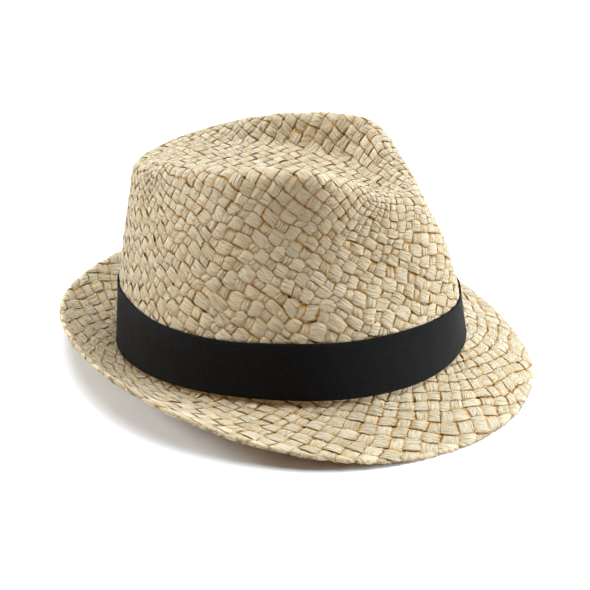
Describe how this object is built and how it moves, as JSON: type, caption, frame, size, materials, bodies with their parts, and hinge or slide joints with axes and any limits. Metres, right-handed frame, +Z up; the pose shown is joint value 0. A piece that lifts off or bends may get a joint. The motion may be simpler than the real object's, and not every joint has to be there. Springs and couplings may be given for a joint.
{
  "type": "trilby hat",
  "caption": "Short-brim trilby plaited from flat paper straw, with a pinched teardrop crown, snapped brim and plain ribbon band.",
  "frame": {"origin": "middle of the hat's footprint on the surface that it rests on", "axes": "+Z up; the front of the hat faces -Y, the back +Y, and the wearer's right is -X"},
  "size_m": [0.2636, 0.276, 0.1334],
  "materials": {
    "paper_straw": "matte",
    "ribbon": "matte"
  },
  "bodies": {
    "root": {"straw_body": "paper_straw", "hat_band": "ribbon"}
  },
  "joints": []
}
